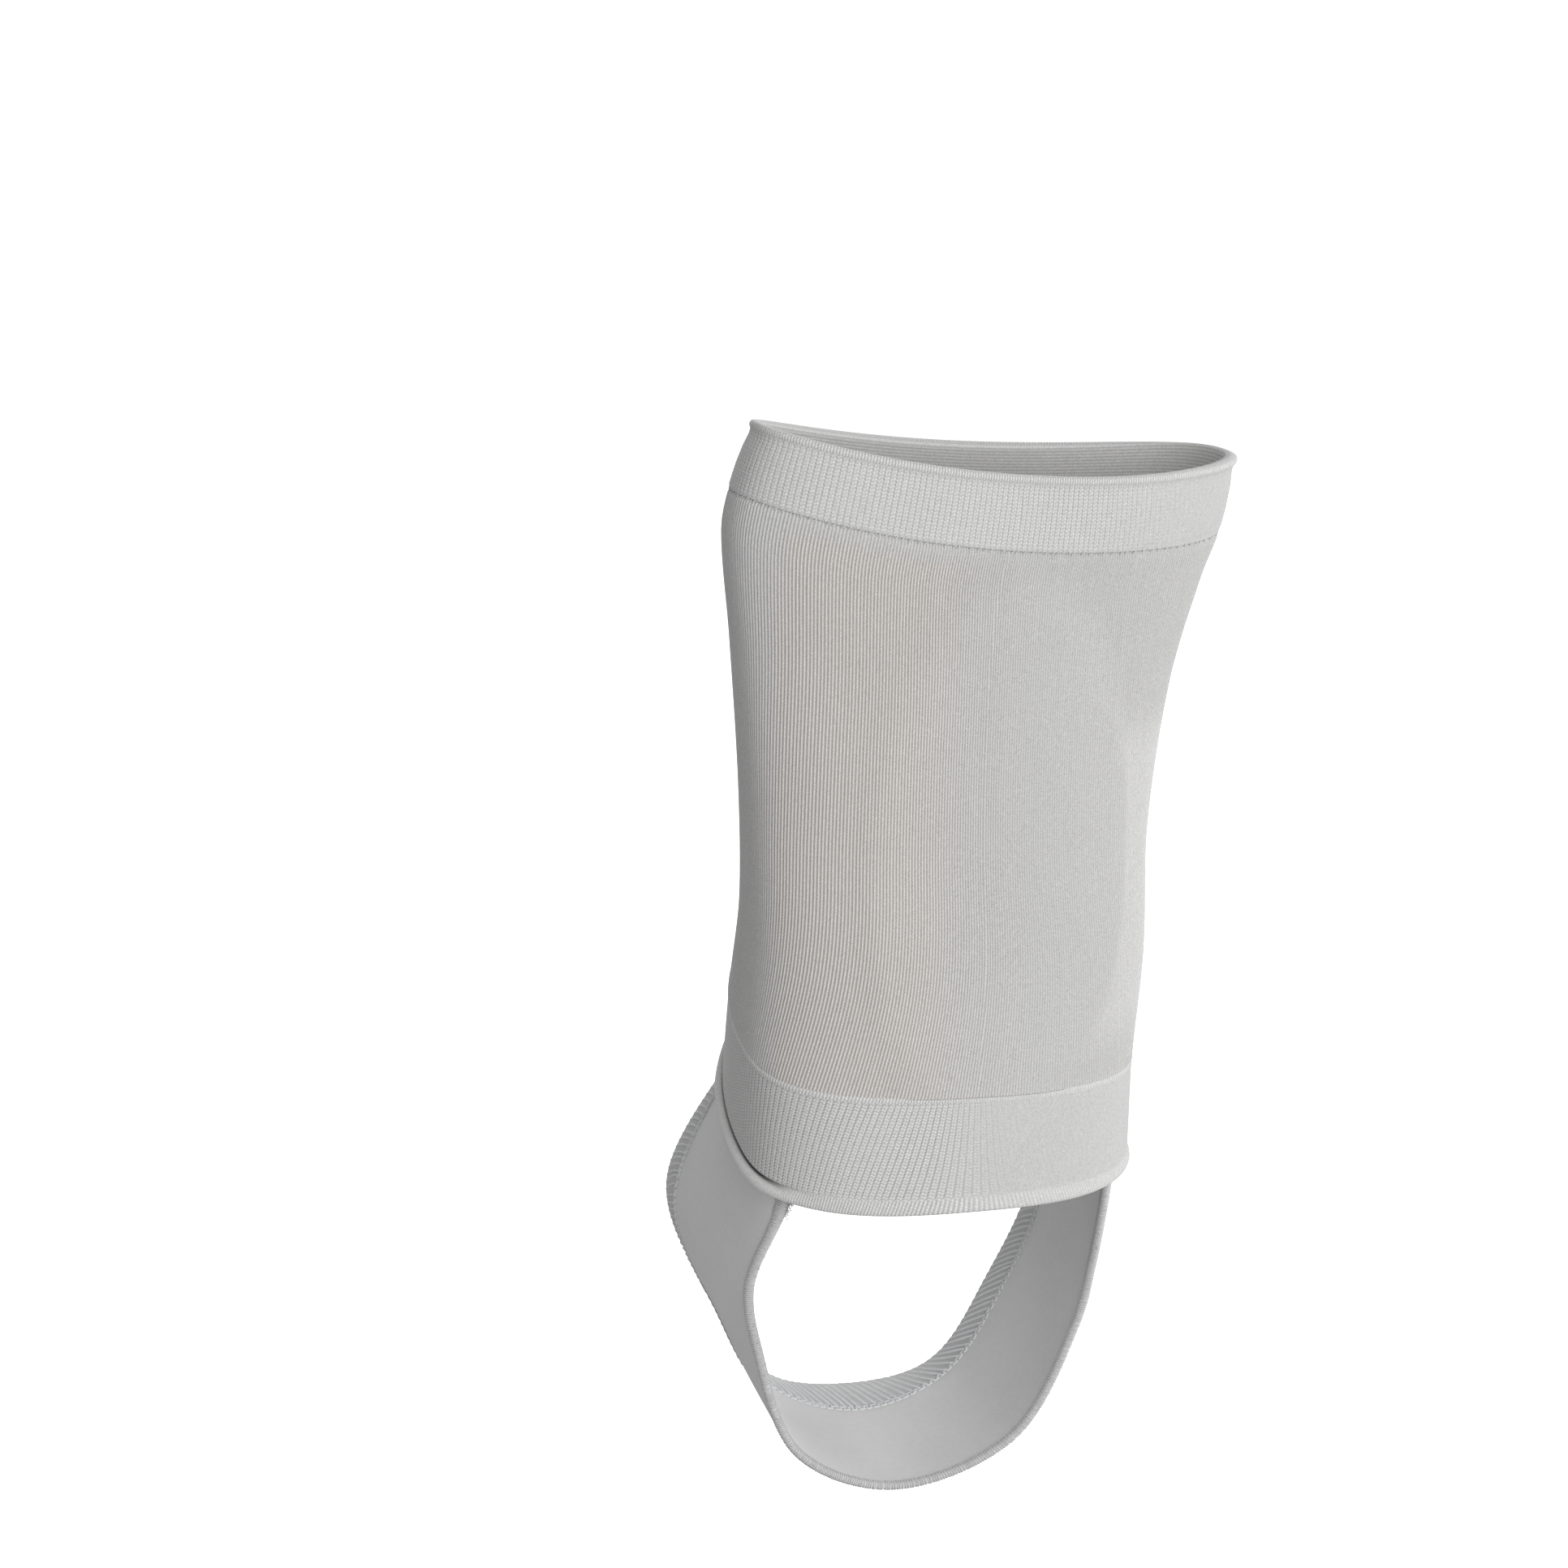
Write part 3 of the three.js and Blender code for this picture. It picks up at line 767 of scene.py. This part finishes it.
def cuff(name, material, columns, shares_at, profile, mesh_row, edge_z, inward, rolls, closes):
    """A double welt of mesh knit from its free edge inwards: 1 towards the toes and -1 towards the heel."""
    numbers = np.arange(columns * POINTS_PER_COLUMN) / POINTS_PER_COLUMN
    back, flush, rolled_back, rolled, ribbed = profile.T
    plain = np.flatnonzero(ribbed == 0)
    first, last = back[plain[0]], back[plain[-1]]
    mesh_back = np.arange(first, last, mesh_row / POINTS_PER_MESH_ROW)
    before = slice(0, plain[0])
    after = slice(plain[-1], None)

    def joined(values):
        middle = np.interp(mesh_back, back[plain], values[plain])
        return np.concatenate([values[before], middle, values[after]])[:, None]

    outer_back = joined(back)
    share = shares_at(numbers, edge_z + inward * outer_back)
    roll = roll_amount(share, edge_z) * rolls
    z = edge_z + inward * (outer_back * (1 - roll) + joined(rolled_back) * roll)
    base = joined(flush) * (1 - roll) + joined(rolled) * roll
    round_at = round_from_sole(share, edge_z)
    closed = smoothstep(round_at, *closes) * (1 - smoothstep(round_at, *OPENS_AGAIN))
    seam = (np.arange(len(outer_back)) >= len(outer_back) - len(back) + plain[-1])[:, None]
    base = base * (1 - CLOSED_SEAM_SINKS * closed * seam)
    ribs = joined(ribbed) * np.ones_like(share)
    row = (outer_back - first) / mesh_row
    hem = (np.arange(len(outer_back)) < plain[0])[:, None]
    sleek = roll * hem
    past_crest = (np.arange(len(outer_back)) > np.argmax(rolled))[:, None]
    # Painted shade in the crease past the roll's crest, strongest where the roll is full and the wall sinks
    # deepest.
    sunk = sleek * roll ** 2 * past_crest * smoothstep(-base, *ROLL_CREASE_SHADE)
    fine_ribs = FINE_RIB * swing(2 * numbers) * ribs * (1 - SLEEK_SMOOTHS * sleek)
    mesh = MESH_RELIEF * mesh_relief(numbers, row) * (1 - ribs)
    relief = (mesh + fine_ribs) * (1 - CLOSED_SMOOTHS * closed)
    outer = face(share, z, base + relief)
    inner_back = np.array(CUFF_INNER_ROWS)[:, None] * back.max()
    inner_z = edge_z + inward * inner_back
    inner = face(shares_at(numbers, inner_z), inner_z, -CUFF_WALL)
    points = np.concatenate([outer, inner])
    courses = (np.concatenate([outer_back, inner_back]).ravel() - first) / mesh_row
    marks = dict(
        ribbed=np.concatenate([ribs, np.zeros(inner.shape[:2])]),
        sleek=np.concatenate([sleek, np.zeros(inner.shape[:2])]),
        sunk=np.concatenate([sunk, np.zeros(inner.shape[:2])]),
        closed=np.concatenate([closed, np.zeros(inner.shape[:2])]),
        inside=np.concatenate([np.zeros(outer.shape[:2]), np.ones(inner.shape[:2])]),
    )
    quads = ring_quads(len(points), len(numbers))[:, ::inward]
    yarn = ring_yarn(numbers, columns, courses).reshape(-1, 4, 2)[:, ::inward]
    return add_mesh(name, points.reshape(-1, 3), quads, material, yarn, **marks)


# The gel pad

PAD_SPOKES = 96
PAD_RINGS = np.array([
    0.04, 0.12, 0.22, 0.32, 0.42, 0.52, 0.62, 0.71, 0.79, 0.86, 0.91, 0.95, 0.98, 0.995,
])
PAD_ROUNDS = (0.9, 1.0)


def gel_pad(material):
    """A low oval dome that lies on the inner face of the knit, with a rounded edge."""
    angle = 2 * np.pi * np.arange(PAD_SPOKES)[None, :] / PAD_SPOKES

    def place(ring, lift):
        up = np.sin(angle)
        z = PAD["middle_z"] + ring * PAD["length"] / 2 * up
        half_width = PAD["width"] / 2 * (1 - PAD["taper"] * up)
        across = PAD["across"] + ring * (PAD["lean"] * up + half_width * np.cos(angle))
        on_knit = smoothstep(z, REAR_SEAM + PAD_STEP_DOWN["ends"], REAR_SEAM + PAD_STEP_DOWN["begins"])
        bed = GAP + CUFF_WALL + (KNIT_WALL - CUFF_WALL) * on_knit
        return face(across / girth_at(z), z, -bed - lift)

    ring = PAD_RINGS[:, None]
    crown = PAD["edge"] + PAD["crown"] * (1 - ring ** 2)
    rounding = np.sqrt(1 - smoothstep(ring, *PAD_ROUNDS) ** 2)
    middle = PAD["edge"] / 2
    foot_side = place(ring, middle + (crown - middle) * rounding)
    seat_side = place(ring[::-1], (middle * (1 - rounding))[::-1])
    loops = np.concatenate([foot_side, seat_side])
    first = cap_quads(np.arange(PAD_SPOKES))[:, ::-1]
    last = cap_quads(np.arange(PAD_SPOKES) + (len(loops) - 1) * PAD_SPOKES)
    quads = np.concatenate([ring_quads(len(loops), PAD_SPOKES, closed=False), first, last])
    return add_mesh("gel_pad_moulded", loops.reshape(-1, 3), quads, material)


# The heel strap

def catmull_rom(points, times):
    """Points along a centripetal curve through the given points, at times from 0 to 1."""
    ends = [2 * points[0] - points[1], *points, 2 * points[-1] - points[-2]]
    knots = np.array(ends)
    gaps = np.sqrt(np.linalg.norm(np.diff(knots, axis=0), axis=1))[:, None]
    place = np.asarray(times) * (len(points) - 1)
    i = np.minimum(place.astype(int), len(points) - 2)
    t = (place - i)[:, None]
    p0, p1, p2, p3 = (knots[i + k] for k in range(4))
    g0, g1, g2 = (gaps[i + k] for k in range(3))
    leaving = g1 * ((p1 - p0) / g0 - (p2 - p0) / (g0 + g1) + (p2 - p1) / g1)
    arriving = g1 * ((p2 - p1) / g1 - (p3 - p1) / (g1 + g2) + (p3 - p2) / g2)
    square = -3 * p1 + 3 * p2 - 2 * leaving - arriving
    cube = 2 * p1 - 2 * p2 + leaving + arriving
    return p1 + t * (leaving + t * (square + t * cube))


def strap_line(share, times):
    """A line along the strap's middle face, at a share of its width from the lower edge."""
    depth = CUFF_WALL + GAP + STRAP_WALL / 2

    def tucked(end, z):
        lower, upper = STRAP_ENDS[end]
        return face((lower + (upper - lower) * share) / girth_at(z), z, -depth)

    lower, middle, upper = STRAP_SECTIONS.transpose(1, 0, 2)
    bulge = middle - (lower + upper) / 2
    arcs = lower + (upper - lower) * share + bulge * 4 * share * (1 - share)
    inside = HEEL_END + STRAP_TUCK
    start = [tucked("lateral", inside), tucked("lateral", HEEL_END)]
    end = [tucked("medial", HEEL_END), tucked("medial", inside)]
    return catmull_rom([*start, *arcs, *end], times)


class StrapFace:
    """The strap's middle face as a fine grid, with its outward direction."""

    def __init__(self):
        self.times = np.linspace(0, 1, STRAP_STEPS_LONG + 1)
        self.shares = np.linspace(0, 1, STRAP_STEPS_WIDE + 1)
        self.grid = np.array([strap_line(share, self.times) for share in self.shares])
        wide = np.gradient(self.grid, axis=0)
        long = np.gradient(self.grid, axis=1)
        self.outward = unit(np.cross(wide, long))
        self.width = np.linalg.norm(np.diff(self.grid, axis=0), axis=2).sum(axis=0)

    def at(self, share, time, out=0.0):
        share, time, out = np.broadcast_arrays(share, time, out)
        row = np.clip(share, 0, 1) * STRAP_STEPS_WIDE
        step = np.clip(time, 0, 1) * STRAP_STEPS_LONG
        r = np.minimum(row.astype(int), STRAP_STEPS_WIDE - 1)
        c = np.minimum(step.astype(int), STRAP_STEPS_LONG - 1)
        over = (row - r)[..., None]
        on = (step - c)[..., None]

        def read(values):
            near = values[r, c] * (1 - over) + values[r + 1, c] * over
            far = values[r, c + 1] * (1 - over) + values[r + 1, c + 1] * over
            return near * (1 - on) + far * on

        return read(self.grid) + read(self.outward) * out[..., None]

    def width_at(self, time):
        return np.interp(time, self.times, self.width)

    def even_times(self, share, pitch):
        """Times along the free strap that are a pitch apart at a share of its width."""
        times = np.linspace(*STRAP_FREE, EDGE_SAMPLES)
        line = self.at(share, times)
        along = np.pad(np.cumsum(np.linalg.norm(np.diff(line, axis=0), axis=1)), (1, 0))
        return np.interp(np.arange(0, along[-1], pitch), along, times)


def half_thickness(from_edge):
    """Half the thickness of the strap's cloth near its rounded edges."""
    inside = np.clip(1 - from_edge / STRAP_ROUNDING, 0, 1)
    return STRAP_CLOTH / 2 * np.sqrt(1 - inside ** 2)


STRAP_STITCH = 0.45
STRAP_EDGE_STEPS = 6
STRAP_INNER_STEPS = 23


def heel_strap(strap, material):
    """The band of jersey, closed round its cut edges and at its tucked ends."""
    edge = STRAP_ROUNDING * (1 - np.cos(np.linspace(0, np.pi / 2, STRAP_EDGE_STEPS)))
    inner_places = np.linspace(0, 1, STRAP_INNER_STEPS)[1:-1]
    time = strap.times[:, None]
    width = strap.width_at(strap.times)[:, None]
    rest = edge[-1] + (width - 2 * edge[-1]) * inner_places
    lower = np.broadcast_to(edge, (len(time), len(edge)))
    across = np.concatenate([lower, rest, width - edge[::-1]], axis=1)
    half = half_thickness(np.minimum(across, width - across))
    outer = strap.at(across / width, time, STRAP_LIFT + half)
    inner = strap.at(across / width, time, STRAP_LIFT - half)[:, -2:0:-1]
    loops = np.concatenate([outer, inner], axis=1)
    size = loops.shape[1]
    first = cap_quads(np.arange(size))[:, ::-1]
    last = cap_quads(np.arange(size) + (len(loops) - 1) * size)
    quads = np.concatenate([ring_quads(len(loops), size, closed=False), first, last])
    number = np.concatenate([across, across[:, -2:0:-1]], axis=1) / STRAP_STITCH
    steps = np.linalg.norm(np.diff(strap.grid[STRAP_STEPS_WIDE // 2], axis=0), axis=1)
    course = np.append(0, np.cumsum(steps)) / STRAP_STITCH
    place = np.stack([number, np.broadcast_to(course[:, None], number.shape)], axis=-1).reshape(-1, 2)
    # Painted shade under the rungs of both edges, fading past their reach
    bound_upper = 1 - smoothstep(width - across - UPPER_RUNG["reach"], *OVERLOCK_SHADE_FADES["upper"])
    bound_lower = 1 - smoothstep(across - LOWER_RUNG["reach"], *OVERLOCK_SHADE_FADES["lower"])
    bound = np.maximum(bound_upper, OVERLOCK_SHADE_FADES["lower_share"] * bound_lower)
    bound = np.concatenate([bound, bound[:, -2:0:-1]], axis=1)
    return add_mesh("heel_strap_jersey", loops.reshape(-1, 3), quads, material, place[quads], bound=bound)


TIME_NUDGE = 0.002
LIP_STEP = 0.05


def strap_directions(strap, share, time):
    """At an edge of the strap: out past it, out of its face and along it, and millimetres a unit of time."""
    foot = strap.at(share, time)
    lip = unit(foot - strap.at(abs(share - LIP_STEP), time))
    outward = unit(strap.at(share, time, 1.0) - foot)
    along = strap.at(share, time + TIME_NUDGE) - strap.at(share, time - TIME_NUDGE)
    speed = np.linalg.norm(along, axis=-1) / (2 * TIME_NUDGE)
    return lip, outward, unit(along), speed


def overlock(strap, name, upper, rung, material):
    """Threads that wrap a cut edge of the strap, one rung beside the other."""
    edge_share = 1.0 if upper else 0.0
    time = strap.even_times(edge_share, rung["pitch"])[:, None]
    lip, outward, along, speed = strap_directions(strap, edge_share, time)
    bend = np.linspace(-1, 1, RUNG_STEPS)
    from_end = np.minimum(time - STRAP_FREE[0], STRAP_FREE[1] - time)
    swell = 1 + rung["swell"] * np.exp(-from_end / SWELL_FADES)
    stand = rung["stand"] * swell
    reach = rung["reach"] * swell * RANDOM.uniform(*RUNG_REACH, time.shape)
    from_edge = reach * np.abs(bend) ** RUNG_CURVE["reach"]
    raised = RUNG_RAISED * rung["radius"]
    rise = half_thickness(from_edge) + stand * (1 - bend ** RUNG_CURVE["stand"]) + raised
    lean = rung["lean"] * bend + RANDOM.normal(0, rung["uneven"], time.shape)
    share = np.abs(edge_share - from_edge / strap.width_at(time))
    out = STRAP_LIFT + np.sign(bend) * rise * np.abs(bend) ** RUNG_CURVE["rise"]
    paths = strap.at(share, time + lean / speed, out)
    over_edge = (stand + raised) * np.clip(1 - 2 * np.abs(bend), 0, 1)
    return threads(name, paths + lip * over_edge[..., None], along, rung["radius"], material)


def overlock_chain(strap, name, rung, material):
    """A looped thread along the inner ends of the upper edge's rungs, on both faces of the strap."""
    rung_times = strap.even_times(1.0, rung["pitch"])
    count = len(rung_times) * CHAIN["steps"]
    time = np.interp(np.arange(count), np.arange(0, count, CHAIN["steps"]), rung_times)
    turn = np.arange(count) / CHAIN["steps"]
    speed = strap_directions(strap, 1.0, time)[3]
    from_edge = rung["reach"] * CHAIN["reach"] + CHAIN["sway"] * swing(turn)
    time = time + (CHAIN["loop"] * rung["pitch"] * np.sin(4 * np.pi * turn) + rung["lean"]) / speed
    share = 1 - from_edge / strap.width_at(time)
    rise = STRAP_CLOTH / 2 + rung["radius"] * (CHAIN["rise"] + CHAIN["lift"] * np.sin(2 * np.pi * turn))
    paths = np.stack([strap.at(share, time, STRAP_LIFT + rise), strap.at(share, time, STRAP_LIFT - rise)])
    outward = unit(strap.at(share, time, 1.0) - strap.at(share, time))
    return threads(name, paths, outward, CHAIN["thread"] * rung["radius"], material)


# Seam stitches and loose threads

SEAM_STITCHES = 150
SEAM_STITCH = dict(
    steps=7, jitter=0.35, shortest=0.2, longest=0.36, slant=0.3, radius=0.09, depth=0.03, dive=0.16,
)


def front_seam_stitches(material):
    """Short stitches across the groove between the body and the front cuff."""
    jitter = RANDOM.uniform(-SEAM_STITCH["jitter"], SEAM_STITCH["jitter"], SEAM_STITCHES)
    share = (np.arange(SEAM_STITCHES) + jitter)[:, None] / SEAM_STITCHES
    half_length = RANDOM.uniform(SEAM_STITCH["shortest"], SEAM_STITCH["longest"], (SEAM_STITCHES, 1))
    bend = np.linspace(-1, 1, SEAM_STITCH["steps"])
    slant = SEAM_STITCH["slant"] * bend / girth_at(FRONT_SEAM)
    out = -SEAM_STITCH["depth"] - SEAM_STITCH["dive"] * np.abs(bend) ** 3
    paths = face(share + slant, FRONT_SEAM + half_length * bend, out)
    beside = unit(face(share, FRONT_SEAM, 1.0) - face(share, FRONT_SEAM))
    return threads("front_seam_stitches", paths, beside, SEAM_STITCH["radius"], material)


FRAYED = dict(
    tuft=60, strays=50, radius=0.05, tuft_length=(0.6, 1.5), stray_length=(0.3, 0.8), spread=0.5, curl=0.36,
    lift=0.18, turn=0.3, steps=5,
)
TUFT_TIMES = (0.1, 0.122)


def frayed_ends(strap, material):
    """Loose fibres where the strap's lower edge leaves the hem, and a few along the edge."""
    tuft, strays = FRAYED["tuft"], FRAYED["strays"]
    time = np.concatenate([RANDOM.uniform(*TUFT_TIMES, tuft), RANDOM.uniform(*STRAP_FREE, strays)])[:, None]
    tuft_length = RANDOM.uniform(*FRAYED["tuft_length"], tuft)
    stray_length = RANDOM.uniform(*FRAYED["stray_length"], strays)
    length = np.concatenate([tuft_length, stray_length])[:, None, None]
    lip, outward, along, _ = strap_directions(strap, 0.0, time)
    mix = RANDOM.normal(0, 1, (len(time), 1, 3))
    spread = FRAYED["spread"]
    start = unit(lip + spread * mix[..., :1] * outward + spread * mix[..., 1:2] * along)
    curl = FRAYED["curl"] * mix[..., 2:] * along + FRAYED["lift"] * outward
    t = np.linspace(0, 1, FRAYED["steps"])[:, None]
    root = strap.at(0.0, time, STRAP_LIFT) + LOWER_RUNG["stand"] * lip
    paths = root + length * (t * start + t ** 2 * curl)
    beside = unit(np.cross(start, along + FRAYED["turn"] * outward))
    return threads("strap_frayed_ends", paths, beside, FRAYED["radius"], material)


# Light, floor and camera

def soft_light(name, place, size, power):
    """A round lamp that shines at the origin from a place in metres."""
    light = bpy.data.lights.new(name, "AREA")
    light.shape = "DISK"
    light.size = size
    light.energy = power
    lamp = bpy.data.objects.new(name, light)
    bpy.context.collection.objects.link(lamp)
    lamp.visible_camera = False
    lamp.location = Vector(place)
    lamp.rotation_euler = (-Vector(place)).to_track_quat("-Z", "Y").to_euler()


# Lamps: name, place in metres, size in metres and power in watts
LAMPS = (
    ("side", (1.6, 0.1, 0.0), 1.8, 17),
    ("front", (0.1, -1.6, 0.4), 1.2, 20),
    ("back", (0.3, 1.6, 0.9), 1.4, 10),
)
WORLD_STRENGTH = 0.4
PAPER = dict(glow=0.75, tone_spot=400, dark=0.86, light=0.9, rough_spot=50, roughness=(0.85, 0.95))
STAGE_SPOKES = 64
CLIP_END = 50

# The floor lies below the strap and curves up to a wall: radius and height, in metres
FLOOR_DROP = 150
STAGE_PROFILE = ((0.0, 0.0), (2.5, 0.0), (3.2, 0.08), (3.8, 0.35), (4.2, 0.9), (4.4, 1.8), (4.4, 4.5))


def studio():
    """Pale paper all round, even light from everywhere and three soft lamps."""
    world = bpy.data.worlds.new("studio")
    bpy.context.scene.world = world
    world.use_nodes = True
    background = world.node_tree.nodes["Background"]
    background.inputs["Color"].default_value = (1, 1, 1, 1)
    background.inputs["Strength"].default_value = WORLD_STRENGTH
    s = Shader("paper", roughness=0.9, Emission_Color=(1, 1, 1, 1), Emission_Strength=PAPER["glow"])
    tone = s.colours(s.noise(PAPER["tone_spot"]), grey(PAPER["dark"]), grey(PAPER["light"]))
    paper = s.finish(tone, s.span(s.noise(PAPER["rough_spot"]), *PAPER["roughness"]))
    lowest = CAD_BOX[0][2] / MM - FLOOR_DROP
    angle = 2 * np.pi * np.arange(STAGE_SPOKES) / STAGE_SPOKES
    loops = [[(r * math.cos(a), r * math.sin(a), h) for a in angle] for r, h in STAGE_PROFILE]
    points = np.array(loops).reshape(-1, 3) / MM + (0, 0, lowest)
    floor = add_mesh("floor", points, ring_quads(len(loops), STAGE_SPOKES, closed=False), paper)
    floor.visible_diffuse = False
    floor.visible_glossy = False
    for lamp in LAMPS:
        soft_light(*lamp)


def camera():
    """A camera that sees the origin at its pixel of the photograph, without any lens shift."""
    a, e = CAMERA_AZIMUTH, CAMERA_ELEVATION
    back = Vector((math.sin(a) * math.cos(e), -math.cos(a) * math.cos(e), math.sin(e)))
    right = Vector((math.cos(a), math.sin(a), 0))
    up = back.cross(right)
    level = Matrix((right, up, back)).transposed()
    rolled = level @ Matrix.Rotation(CAMERA_ROLL, 3, "Z")
    across = (ORIGIN_PIXEL[0] - PHOTO_SIDE / 2) / FOCAL_PIXELS
    down = (ORIGIN_PIXEL[1] - PHOTO_SIDE / 2) / FOCAL_PIXELS
    seen = Vector((across, -down, -1)).normalized()
    swing = seen.rotation_difference(Vector((0, 0, -1))).to_matrix()
    lens = bpy.data.cameras.new("camera")
    lens.sensor_width = SENSOR_WIDTH
    lens.lens = SENSOR_WIDTH * FOCAL_PIXELS / PHOTO_SIDE
    lens.clip_end = CLIP_END
    eye = bpy.data.objects.new("camera", lens)
    bpy.context.collection.objects.link(eye)
    eye.matrix_world = Matrix.Translation(back * CAMERA_DISTANCE * MM) @ (rolled @ swing).to_4x4()
    bpy.context.scene.camera = eye
    bpy.context.scene.view_settings.view_transform = "Standard"


# Assembly

REAR_EVENED = (0.0, 0.4)
FRONT_EVENED = (0.2, 0.6)
OVERLOCK_TONES = (grey(0.6, -0.015), grey(0.72, -0.015))
SOFT_TONES = (grey(0.5), grey(0.66))

knit = knit_material()
rear_mesh = cuff_material("rear_mesh", REAR_EVENED)
front_mesh = cuff_material("front_mesh", FRONT_EVENED)
jersey = strap_material()
strap_thread = thread_material("overlock_thread", *OVERLOCK_TONES)
puffy_thread = thread_material("puffy_thread", *SOFT_TONES)
seam_thread = thread_material("seam_thread", *SOFT_TONES)
strap = StrapFace()

body = sleeve_body(knit)
front = cuff(
    "front_cuff_mesh", front_mesh, FRONT_COLUMNS, front_shares, FRONT_PROFILE, FRONT_MESH_ROW,
    edge_z=TOE_END, inward=-1, rolls=False, closes=FRONT_CLOSES,
)
rear = cuff(
    "rear_cuff_mesh", rear_mesh, REAR_COLUMNS, rear_shares, REAR_PROFILE, REAR_MESH_ROW,
    edge_z=HEEL_END, inward=1, rolls=True, closes=REAR_CLOSES,
)
pad = gel_pad(gel_material())
band = heel_strap(strap, jersey)
seam = front_seam_stitches(seam_thread)
upper_edge = overlock(strap, "strap_upper_overlock", True, UPPER_RUNG, strap_thread)
upper_chain = overlock_chain(strap, "strap_upper_chain", UPPER_RUNG, strap_thread)
lower_edge = overlock(strap, "strap_lower_overlock", False, LOWER_RUNG, puffy_thread)
frayed = frayed_ends(strap, puffy_thread)

for piece, node, slot in (
    (body, "sleeve_body", "knit"),
    (front, "front_cuff", "cuff"),
    (rear, "rear_cuff", "cuff"),
    (pad, "gel_pad", "gel"),
    (band, "heel_strap", "strap"),
):
    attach(piece, "root")
    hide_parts(node)
for piece, slot in (
    (seam, "cuff"),
    (upper_edge, "strap"),
    (upper_chain, "strap"),
    (lower_edge, "strap"),
    (frayed, "strap"),
):
    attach(piece, "root")

studio()
camera()
